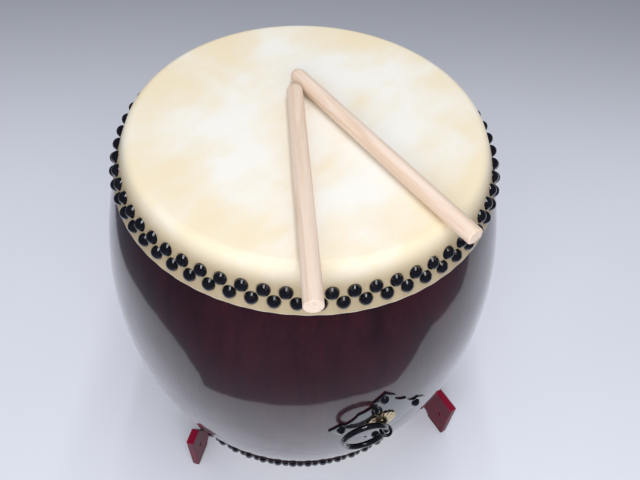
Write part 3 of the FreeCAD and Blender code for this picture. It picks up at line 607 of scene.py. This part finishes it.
def painted_reflection_finish(colours):
    """Dim colour of a painted reflection: the room beyond the pale floor as only the gloss sees it."""
    finish = Finish("dim_room_painted_reflection")
    cloud = finish.noise(finish.place(), 1.1, 2, 0.5)
    paler = [value * 1.3 for value in colours.room]
    finish.colour(finish.ramp(cloud, 0.3, 0.7, colours.room, paler))
    finish.set(roughness=1.0, specular_ior_level=0.0)
    return finish.material


# Barrel


def make_barrel(sizes, fitting, colours):
    """Hollowed log: outer arc, rounded shoulders and mouths, inner arc, and the two pin holes."""
    shape = Barrel(sizes)
    end = HALF_WOOD
    outer_rows = 56
    inner_rows = 24
    round_steps = 192
    rise = (0.0, 1.0)
    inwards = (-1.0, 0.0)
    lean = shape.slope(end)
    up_the_side = (-math.sin(lean), math.cos(lean))
    top_shoulder = rounded((sizes.wood_end_radius, end), up_the_side, inwards, sizes.shoulder_round, 8)
    top_mouth = rounded((shape.inner_mouth, end), inwards, (0.0, -1.0), sizes.mouth_round, 4)
    top = top_shoulder + top_mouth
    bottom = [(radius, -level) for radius, level in reversed(top)]
    last = top_shoulder[0][1]
    outer = []
    for row in range(1, outer_rows):
        level = -last + 2 * last * row / outer_rows
        outer.append((shape.radius(level), level))
    first = top_mouth[-1][1]
    inner = []
    for row in range(1, inner_rows):
        level = first - 2 * first * row / inner_rows
        inner.append((shape.inner_radius(level), level))
    points = outer + top + inner + bottom + outer[:1]
    barrel = turn(draw("barrel", on_axis(points)), round_steps, DRUM_AXIS)

    deselect()
    bpy.ops.mesh.primitive_cylinder_add(
        vertices=32, radius=fitting.neck_hole, depth=4 * BELLY_RADIUS,
        location=(PIN_CENTRE.x, DRUM_AXIS.y, PIN_CENTRE.z), rotation=(math.radians(90), 0, 0))
    drill = bpy.context.object
    cut = barrel.modifiers.new("pin holes", "BOOLEAN")
    cut.operation = "DIFFERENCE"
    cut.solver = "EXACT"
    cut.object = drill
    select_only(barrel)
    bpy.ops.object.modifier_apply(modifier=cut.name)
    bpy.data.objects.remove(drill)
    smooth(barrel, 30)
    stand_for(barrel, "body_shell", "drum", barrel_lacquer(colours))


# Skins


def skin_outline(sizes, thickness, hem_depth):
    """Half of the top skin in section, (radius, level from mid height), from the axis round to the axis."""
    shape = Barrel(sizes)
    flat_rows = 12
    side_rows = 26
    inner_side_rows = 9
    inner_flat_rows = 6
    gap = sizes.skin_gap
    head = HALF_DRUM
    wood = HALF_WOOD
    hem = HALF_DRUM - hem_depth
    lean = shape.slope(head)
    down_the_side = (math.sin(lean), -math.cos(lean))
    outset = gap + thickness
    outer_turn = rounded((shape.radius(head, outset), head), (1.0, 0.0), down_the_side,
                         sizes.shoulder_round + thickness, 9)
    inner_turn = rounded((shape.radius(wood, gap), wood), (1.0, 0.0), down_the_side, sizes.shoulder_round, 7)
    flat = [(outer_turn[0][0] * row / flat_rows, head) for row in range(flat_rows)]
    low = outer_turn[-1][1]
    side = []
    for row in range(1, side_rows):
        level = low + (hem + 0.0008 - low) * row / side_rows
        side.append((shape.radius(level, outset), level))
    hem_middle = shape.radius(hem, gap + thickness / 2)
    edge = [
        (shape.radius(hem, outset) - 0.0003, hem + 0.0004),
        (hem_middle, hem),
        (shape.radius(hem, gap) + 0.0002, hem + 0.0004),
    ]
    start = inner_turn[-1][1]
    inner_side = []
    for row in range(1, inner_side_rows):
        level = hem + (start - hem) * row / inner_side_rows
        inner_side.append((shape.radius(level, gap), level))
    inner_flat = [(inner_turn[0][0] * row / inner_flat_rows, wood) for row in range(inner_flat_rows)]
    return flat + outer_turn + side + edge + inner_side + inner_turn[::-1] + inner_flat[::-1]


def press_round_tacks(skin, sizes, hem_depth):
    """Draw the hide in a little under each tack and let it stand out between the tacks at the hem."""
    pitch = 2 * math.pi / sizes.tack_count
    rows = ((sizes.inner_row_drop, 0.0), (sizes.outer_row_drop, 0.5))
    pressed_radius = sizes.dome_radius * 0.75
    press = 0.0005
    hem_band = 0.006
    stand_out = 0.0003

    def angle_to_tack(point, shift):
        angle = math.atan2(point.y - DRUM_AXIS.y, point.x - DRUM_AXIS.x) - sizes.tack_turn
        steps = angle / pitch - shift
        return abs(steps - round(steps))

    def beside_tack(point):
        radius = math.hypot(point.x - DRUM_AXIS.x, point.y - DRUM_AXIS.y)
        for drop, shift in rows:
            level = SKIN_HIGH.z - drop
            across = angle_to_tack(point, shift) * pitch * radius
            if math.hypot(across, point.z - level) < pressed_radius:
                return True
        return False

    def between_at_hem(point):
        return point.z < SKIN_HIGH.z - hem_depth + hem_band and angle_to_tack(point, 0.5) < 0.2

    edit(skin)
    pick(skin, beside_tack)
    bpy.ops.transform.shrink_fatten(value=-press)
    pick(skin, between_at_hem)
    bpy.ops.transform.shrink_fatten(value=stand_out)
    leave_edit()


def make_skin(name, sizes, hem_depth):
    """One skin, stretched over the upper mouth."""
    points = on_axis(skin_outline(sizes, HALF_DRUM - HALF_WOOD, hem_depth))
    skin = turn(draw(name, points), 4 * sizes.tack_count, DRUM_AXIS)
    press_round_tacks(skin, sizes, hem_depth)
    smooth(skin, 50)
    return skin


def make_skins(sizes, colours):
    """Both skins; the lower one is cut closer to its tacks, is turned over onto the lower mouth, and has
    painted shade on its side and cut.
    """
    hem_depth = SKIN_HIGH.z - SKIN_LOW.z
    top = make_skin("head_top", sizes, hem_depth)
    hide = rawhide("rawhide", colours, colours.hide_side, colours.hide_cut, hem_depth)
    stand_for(top, "top_skin", "drum", hide)
    hem_depth = LOWER_SKIN_HIGH.z - LOWER_SKIN_LOW.z
    bottom = make_skin("head_bottom", sizes, hem_depth)
    # The lower skin's side and cut take the painted shade colour
    hide = rawhide("rawhide_lower_painted_shade", colours, colours.hide_lower_painted_shade, colours.hide_lower_painted_shade, hem_depth)
    turned = Matrix.Rotation(2 * sizes.tack_turn, 4, "Z") @ Matrix.Rotation(math.pi, 4, "X")
    middle = Vector((DRUM_AXIS.x, DRUM_AXIS.y, MIDDLE))
    bottom.matrix_world = Matrix.Translation(middle) @ turned @ Matrix.Translation(-middle)
    stand_for(bottom, "bottom_skin", "drum", hide)


# Tacks


def make_tack(name, radius, height, shank_radius, shank_length, rings, steps):
    """One domed tack along +X, its dome seated at the origin."""
    ball = (radius ** 2 + height ** 2) / (2 * height)
    spread = math.atan2(radius, ball - height)
    point_length = 0.004
    dome = bow((height - ball, 0), ball, 0.0, spread, rings)
    shank = [(0.0, shank_radius), (point_length - shank_length, shank_radius), (-shank_length, 0.0)]
    outline = [Vector((along, 0, across)) for along, across in dome + shank]
    tack = turn(draw(name, outline), steps, (0, 0, 0), (1, 0, 0))
    smooth(tack, 50)
    return tack


def tack_seat(shape, angle, level, outset):
    """Placement of a tack square to the barrel at an angle and a level."""
    radius = shape.radius(level, outset)
    lean = math.asin(level / (shape.arc + outset))
    place = DRUM_AXIS + Vector((radius * math.cos(angle), radius * math.sin(angle), MIDDLE + level))
    return Matrix.Translation(place) @ Matrix.Rotation(angle, 4, "Z") @ Matrix.Rotation(-lean, 4, "Y")


def make_tack_rows(sizes, colours):
    """Four rows of tacks, each copied round the drum and set one by one, so none sits quite like the next.
    """
    shape = Barrel(sizes)
    outset = sizes.skin_gap + HALF_DRUM - HALF_WOOD
    iron = black_iron(colours)
    tack = make_tack("tack", sizes.dome_radius, sizes.dome_height, sizes.shank_radius,
                     sizes.shank_length, 5, 18)
    pitch = 2 * math.pi / sizes.tack_count
    rows = (
        ("top_tacks_upper_row", 1, sizes.outer_row_drop, 0.5),
        ("top_tacks_lower_row", 1, sizes.inner_row_drop, 0.0),
        ("bottom_tacks_upper_row", -1, sizes.inner_row_drop, 0.0),
        ("bottom_tacks_lower_row", -1, sizes.outer_row_drop, 0.5),
    )
    hand = random.Random(7)
    for node, end, drop, shift in rows:
        level = end * (HALF_DRUM - drop)
        copies = []
        for number in range(sizes.tack_count):
            angle = sizes.tack_turn + (number + shift) * pitch
            tilt = Euler([math.radians(hand.uniform(-180, 180))] + [math.radians(hand.uniform(-3, 3))] * 2)
            one = copy_of(tack, "tack_copy")
            one.matrix_world = tack_seat(shape, angle, level, outset) @ tilt.to_matrix().to_4x4()
            copies.append(one)
        row = join(copies, node + "_domes")
        stand_for(row, node, "drum", iron)
    bpy.data.objects.remove(tack)


# Ring fittings


def round_plate(word, iron, sizes):
    """Soften the edges of the diamond plate."""
    node = word + "_ring_plate"
    plate = copy_of(frame["nodes"][node], node + "_soft")
    plate.parent = None
    close_up(plate)
    edges = plate.modifiers.new("edges", "BEVEL")
    edges.width = sizes.plate_bevel
    edges.segments = 2
    edges.limit_method = "ANGLE"
    edges.angle_limit = math.radians(50)
    select_only(plate)
    bpy.ops.object.modifier_apply(modifier=edges.name)
    smooth(plate, 35)
    stand_for(plate, node, "drum", iron)


def set_plate_tacks(word, side, iron, sizes, drum):
    """Four domed tacks in the corners of a plate."""
    shape = Barrel(drum)
    outset = PLATE_FACE - BELLY_RADIUS
    tack = make_tack("plate_tack", sizes.tack_radius, sizes.tack_height, drum.shank_radius,
                     drum.shank_length, 6, 24)
    middle = math.radians(90 * side)
    swing = math.asin(sizes.tack_reach / PLATE_FACE)
    seats = (
        (middle, sizes.tack_reach),
        (middle, -sizes.tack_reach),
        (middle + swing, 0.0),
        (middle - swing, 0.0),
    )
    copies = []
    for angle, level in seats:
        one = copy_of(tack, "plate_tack_copy")
        one.matrix_world = tack_seat(shape, angle, level, outset)
        copies.append(one)
    bpy.data.objects.remove(tack)
    node = word + "_ring_tacks"
    stand_for(join(copies, node + "_domes"), node, "drum", iron)


def make_washer(word, side, gold, brown, sizes):
    """Chrysanthemum washer: petals with round ends, a furrow between each two, and a plain boss."""
    node = word + "_ring_washer"
    low, high = node_box(node)
    radius = (high.x - low.x) / 2
    height = high.y - low.y
    slices = 10
    # Slices counted from the middle of a furrow, how far they sink and how far their ends draw in
    furrow_form = (
        ((0,), 0.0009, 0.940),
        ((1, slices - 1), 0.00015, 0.972),
        ((2, slices - 2), 0.00004, 0.990),
    )
    crown = sizes.washer_crown
    rim = sizes.washer_rim
    boss = sizes.boss_radius
    petal = [(boss + (radius - boss) * part, crown - (crown - rim) * part ** 2.6) for part in
             (0.0, 0.12, 0.28, 0.46, 0.64, 0.80, 0.92, 1.0)]
    outline = [(sizes.neck_hole, 0.0), (radius - 0.0006, 0.0), (radius, 0.0005)]
    outline += petal[::-1]
    outline += [(boss, height - 0.0012), (boss - 0.0010, height), (sizes.neck_hole, height),
                (sizes.neck_hole, 0.0)]
    points = [Vector((across, 0, up)) for across, up in outline]
    washer = turn(draw(node + "_petals", points), slices * sizes.petals, (0, 0, 0))
    step = 2 * math.pi / (slices * sizes.petals)

    def slice_of(point):
        return round(math.atan2(point.y, point.x) / step) % slices

    def on_petal(point):
        return math.hypot(point.x, point.y) > boss + 0.0006 and point.z > 0.0002

    def at_rim(point):
        return math.hypot(point.x, point.y) > radius * 0.90

    def beside_furrow(point):
        return abs((math.atan2(point.y, point.x) / step + 1) % slices - 1) < 1

    edit(washer)
    for wanted, drop, draw_in in furrow_form:
        pick(washer, lambda point: on_petal(point) and slice_of(point) in wanted)
        bpy.ops.transform.translate(value=(0, 0, -drop))
        pick(washer, lambda point: at_rim(point) and slice_of(point) in wanted)
        bpy.ops.transform.resize(value=(draw_in, draw_in, 1), center_override=(0, 0, 0))
    leave_edit()
    smooth(washer, 60)
    furrows = [face.index for face in washer.data.polygons
               if on_petal(face.center) and face.normal.z > 0.1 and beside_furrow(face.center)]
    seat = low.y if side > 0 else high.y
    turned = Matrix.Rotation(math.radians(-90 * side), 4, "X")
    centre = (low + high) / 2
    washer.matrix_world = Matrix.Translation((centre.x, seat, centre.z)) @ turned
    stand_for(washer, node, "drum", gold)
    washer.data.materials.append(brown)
    for number in furrows:
        washer.data.polygons[number].material_index = 1


def make_ring(word, iron, sizes):
    """Forged ring, not quite even along its bar."""
    node = word + "_ring"
    room_for_hammer = 0.0001
    joint = [item for item in frame["joints"] if item["name"] == node + "_swing"][0]
    eye = Vector(joint["pos_m"])
    low, high = node_box(node)
    centre = (low + high) / 2
    reach = Vector((centre.x - eye.x, centre.y - eye.y, 0)).normalized() * sizes.ring_radius
    heading = math.atan2(reach.y, reach.x)
    deselect()
    bpy.ops.mesh.primitive_torus_add(
        location=(0, 0, 0), major_radius=sizes.ring_radius, minor_radius=sizes.ring_bar - room_for_hammer,
        major_segments=96, minor_segments=24)
    ring = bpy.context.object
    ring.name = node + "_forged"
    hammer = bpy.data.textures.new(node + "_hammer", "CLOUDS")
    hammer.noise_scale = 0.012
    uneven = ring.modifiers.new("uneven", "DISPLACE")
    uneven.texture = hammer
    uneven.texture_coords = "LOCAL"
    uneven.strength = 0.00035
    uneven.mid_level = 0.5
    bpy.ops.object.modifier_apply(modifier=uneven.name)
    smooth(ring, 60)
    ring.matrix_world = (Matrix.Translation(eye + reach) @ Matrix.Rotation(heading, 4, "Z")
                         @ Matrix.Rotation(math.radians(90), 4, "X"))
    stand_for(ring, node, node, iron)


def make_fittings(drum, sizes, colours):
    """Plate, tacks, washer, eye and ring at the front and at the rear."""
    iron = black_iron(colours)
    gold = gilding(colours)
    brown = furrow_brown(colours)
    for word, side in (("front", -1), ("rear", 1)):
        round_plate(word, iron, sizes)
        set_plate_tacks(word, side, iron, sizes, drum)
        make_washer(word, side, gold, brown, sizes)
        dress(frame["nodes"][word + "_ring_eye"], iron)
        make_ring(word, iron, sizes)


# Sticks and stand


def long_direction(node):
    """Centre and heading of a long straight node, from the middles of its two ends."""
    end_reach = 0.03
    points = [point.co for point in frame["nodes"][node].data.vertices]
    middle = sum(points, Vector()) / len(points)
    first = max(points, key=lambda point: (point - middle).length)
    last = max(points, key=lambda point: (point - first).length)
    ends = []
    for corner in (first, last):
        near = [point for point in points if (point - corner).to_2d().length < end_reach]
        ends.append(sum(near, Vector()) / len(near))
    away = ends[1] - ends[0]
    return (ends[0] + ends[1]) / 2, math.atan2(away.y, away.x)


def dress_sticks(colours):
    """Bare wood for both sticks, its pattern moved along so that no two are alike."""
    pattern_shift = 0.31
    for number in (1, 2):
        node = "stick_%d" % number
        centre, heading = long_direction(node)
        shift = Vector((pattern_shift * number, 0, 0))
        dress(frame["nodes"][node], bare_wood(node + "_wood", colours, centre + shift, heading))
        smooth(frame["nodes"][node], 40)


def dress_stand(colours):
    for node in ("stand_board_left", "stand_board_right", "stand_stretcher"):
        centre, heading = long_direction(node)
        dress(frame["nodes"][node], stand_lacquer(node + "_lacquer", colours, centre, heading))


# Stage


def photo_frame(stage):
    """The photograph's own ground directions: to the right of the picture and away from the camera."""
    turned = Matrix.Rotation(-stage.camera_azimuth, 4, "Z")
    return turned @ Vector((1, 0, 0)), turned @ Vector((0, 1, 0))


def lay_floor(colours, stage):
    deselect()
    bpy.ops.mesh.primitive_plane_add(size=14, location=(0, 0, 0))
    floor = bpy.context.object
    floor.name = "floor"
    dress(floor, floor_finish(colours, stage))


def mirror_only(piece, material):
    """Let a piece of the stage be seen in reflections only."""
    piece.visible_camera = False
    piece.visible_diffuse = False
    piece.visible_shadow = False
    piece.visible_transmission = False
    dress(piece, material)


# Edge of the pale floor as the gloss shows it, where the dark card of the painted reflection begins, metres
# to the right and away from the drum's axis
PALE_EDGE = (
    (-0.86, 4.0), (-0.86, -0.15), (-0.80, -0.32), (-0.69, -0.43), (-0.58, -0.475), (-0.44, -0.475),
    (-0.374, -0.443), (-0.26, -0.526), (-0.16, -0.579), (-0.03, -0.609), (0.145, -0.615), (0.25, -0.59),
    (0.362, -0.518), (0.425, -0.474), (0.57, -0.48), (0.70, -0.49), (0.83, -0.46), (0.93, -0.30),
    (1.0, -0.17), (1.15, -0.07), (1.3, 0.0), (1.5, 0.1), (5.0, 0.6), (5.0, -5.0), (-5.0, -5.0), (-5.0, 4.0),
)


def paint_room_reflection(stage, colours):
    """Painted reflection of a dim room beyond the pale floor, seen by the gloss only: a dark card on the
    floor, and dark walls all round.
    """
    right, away = photo_frame(stage)
    dim = painted_reflection_finish(colours)
    lift = Vector((0, 0, 0.003))
    edge = [DRUM_AXIS + right * across + away * ahead + lift for across, ahead in PALE_EDGE]
    card = draw("painted_reflection_floor_card", edge)
    edit(card)
    bpy.ops.mesh.edge_face_add()
    leave_edit()
    mirror_only(card, dim)
    deselect()
    bpy.ops.mesh.primitive_uv_sphere_add(segments=48, ring_count=24, radius=5.0, location=DRUM_AXIS)
    walls = bpy.context.object
    walls.name = "painted_reflection_walls"
    smooth(walls, 60)
    mirror_only(walls, dim)


def hang_lamp(name, place, aim, size, power):
    """One rectangular lamp, its size given across and along."""
    bpy.ops.object.light_add(type="AREA", location=place, rotation=aim)
    lamp = bpy.context.object
    lamp.name = name
    lamp.data.shape = "RECTANGLE"
    lamp.data.size, lamp.data.size_y = size
    lamp.data.energy = power
    return lamp


def hang_lamps(stage):
    """Two long narrow lamps side by side over the drum, a wide soft one in front and an even sky."""
    right, away = photo_frame(stage)
    heading = math.atan2(right.y, right.x)
    strips_across = (-0.12, 0.30)
    strips_beyond = 0.15
    strips_up = 2.5
    strip_size = (0.10, 2.2)
    front_back = 1.6
    front_up = 1.2
    front_size = (2.0, 1.0)
    for number, across in enumerate(strips_across, start=1):
        place = DRUM_AXIS + right * across + away * strips_beyond + Vector((0, 0, strips_up))
        hang_lamp("lamp_%d" % number, place, (0, 0, heading), strip_size, stage.lamp)
    place = DRUM_AXIS - away * front_back + Vector((0, 0, front_up))
    aim = (DRUM_AXIS - place).to_track_quat("-Z", "Y").to_euler()
    front = hang_lamp("front_lamp", place, aim, front_size, stage.front_lamp)
    front.visible_glossy = False
    world = bpy.data.worlds.new("even_sky")
    world.use_nodes = True
    sky = world.node_tree.nodes["Background"]
    sky.inputs["Color"].default_value = (0.93, 0.96, 1.0, 1)
    sky.inputs["Strength"].default_value = stage.sky
    bpy.context.scene.world = world


def stand_camera(stage):
    right, away = photo_frame(stage)
    rise = Vector((0, 0, SKIN_HIGH.z + stage.camera_up))
    place = DRUM_AXIS - right * stage.camera_aside - away * stage.camera_back + rise
    looking = (Matrix.Rotation(-stage.camera_azimuth - stage.yaw, 4, "Z")
               @ Matrix.Rotation(math.pi / 2 - stage.pitch, 4, "X") @ Matrix.Rotation(stage.roll, 4, "Z"))
    bpy.ops.object.camera_add(location=place, rotation=looking.to_euler())
    camera = bpy.context.object
    camera.name = "photo_camera"
    camera.data.sensor_width = 36
    camera.data.lens = stage.lens
    camera.data.clip_start = 0.01
    bpy.context.scene.camera = camera


# Operators and panel


class TaikoOperator(bpy.types.Operator):
    """Shared options of the operators below."""

    bl_options = {"REGISTER", "UNDO"}


class OBJECT_OT_taiko_barrel(TaikoOperator):
    """Model the lacquered barrel"""

    bl_idname = "object.taiko_barrel"
    bl_label = "Barrel"

    def execute(self, context):
        scene = context.scene
        make_barrel(scene.taiko_drum, scene.taiko_fitting, scene.taiko_colours)
        return {"FINISHED"}


class OBJECT_OT_taiko_skins(TaikoOperator):
    """Model the two stretched skins"""

    bl_idname = "object.taiko_skins"
    bl_label = "Skins"

    def execute(self, context):
        make_skins(context.scene.taiko_drum, context.scene.taiko_colours)
        return {"FINISHED"}


class OBJECT_OT_taiko_tacks(TaikoOperator):
    """Set the four rows of domed tacks"""

    bl_idname = "object.taiko_tacks"
    bl_label = "Tacks"

    def execute(self, context):
        make_tack_rows(context.scene.taiko_drum, context.scene.taiko_colours)
        return {"FINISHED"}


class OBJECT_OT_taiko_fittings(TaikoOperator):
    """Model the front and rear ring fittings"""

    bl_idname = "object.taiko_fittings"
    bl_label = "Ring fittings"

    def execute(self, context):
        scene = context.scene
        make_fittings(scene.taiko_drum, scene.taiko_fitting, scene.taiko_colours)
        return {"FINISHED"}


class OBJECT_OT_taiko_sticks(TaikoOperator):
    """Finish the two sticks in bare wood"""

    bl_idname = "object.taiko_sticks"
    bl_label = "Sticks"

    def execute(self, context):
        dress_sticks(context.scene.taiko_colours)
        return {"FINISHED"}


class OBJECT_OT_taiko_stand(TaikoOperator):
    """Finish the stand's boards in crimson lacquer"""

    bl_idname = "object.taiko_stand"
    bl_label = "Stand"

    def execute(self, context):
        dress_stand(context.scene.taiko_colours)
        return {"FINISHED"}


class OBJECT_OT_taiko_stage(TaikoOperator):
    """Lay the floor, hang the lamps and stand the camera"""

    bl_idname = "object.taiko_stage"
    bl_label = "Stage"

    def execute(self, context):
        scene = context.scene
        lay_floor(scene.taiko_colours, scene.taiko_stage)
        paint_room_reflection(scene.taiko_stage, scene.taiko_colours)
        hang_lamps(scene.taiko_stage)
        stand_camera(scene.taiko_stage)
        scene.view_settings.view_transform = "Standard"
        return {"FINISHED"}


OPERATORS = (
    OBJECT_OT_taiko_barrel,
    OBJECT_OT_taiko_skins,
    OBJECT_OT_taiko_tacks,
    OBJECT_OT_taiko_fittings,
    OBJECT_OT_taiko_sticks,
    OBJECT_OT_taiko_stand,
    OBJECT_OT_taiko_stage,
)


class VIEW3D_PT_taiko(bpy.types.Panel):
    """Sidebar panel that lists the pieces and the stage"""

    bl_label = "Nagado Taiko"
    bl_space_type = "VIEW_3D"
    bl_region_type = "UI"
    bl_category = "Taiko"

    def draw(self, context):
        for name, group in GROUPS.items():
            for field in group.__annotations__:
                self.layout.prop(getattr(context.scene, name), field)
        for operator in OPERATORS:
            self.layout.operator(operator.bl_idname)


GROUPS = {
    "taiko_drum": TaikoDrumSizes,
    "taiko_fitting": TaikoFittingSizes,
    "taiko_colours": TaikoColours,
    "taiko_stage": TaikoStage,
}


def register():
    for group in GROUPS.values():
        bpy.utils.register_class(group)
    for operator in OPERATORS:
        bpy.utils.register_class(operator)
    bpy.utils.register_class(VIEW3D_PT_taiko)
    for name, group in GROUPS.items():
        setattr(bpy.types.Scene, name, bpy.props.PointerProperty(type=group))


def unregister():
    for name in GROUPS:
        delattr(bpy.types.Scene, name)
    bpy.utils.unregister_class(VIEW3D_PT_taiko)
    for operator in reversed(OPERATORS):
        bpy.utils.unregister_class(operator)
    for group in reversed(list(GROUPS.values())):
        bpy.utils.unregister_class(group)


def main():
    register()
    bpy.ops.object.taiko_barrel()
    bpy.ops.object.taiko_skins()
    bpy.ops.object.taiko_tacks()
    bpy.ops.object.taiko_fittings()
    bpy.ops.object.taiko_sticks()
    bpy.ops.object.taiko_stand()
    bpy.ops.object.taiko_stage()


if __name__ == "__main__":
    main()
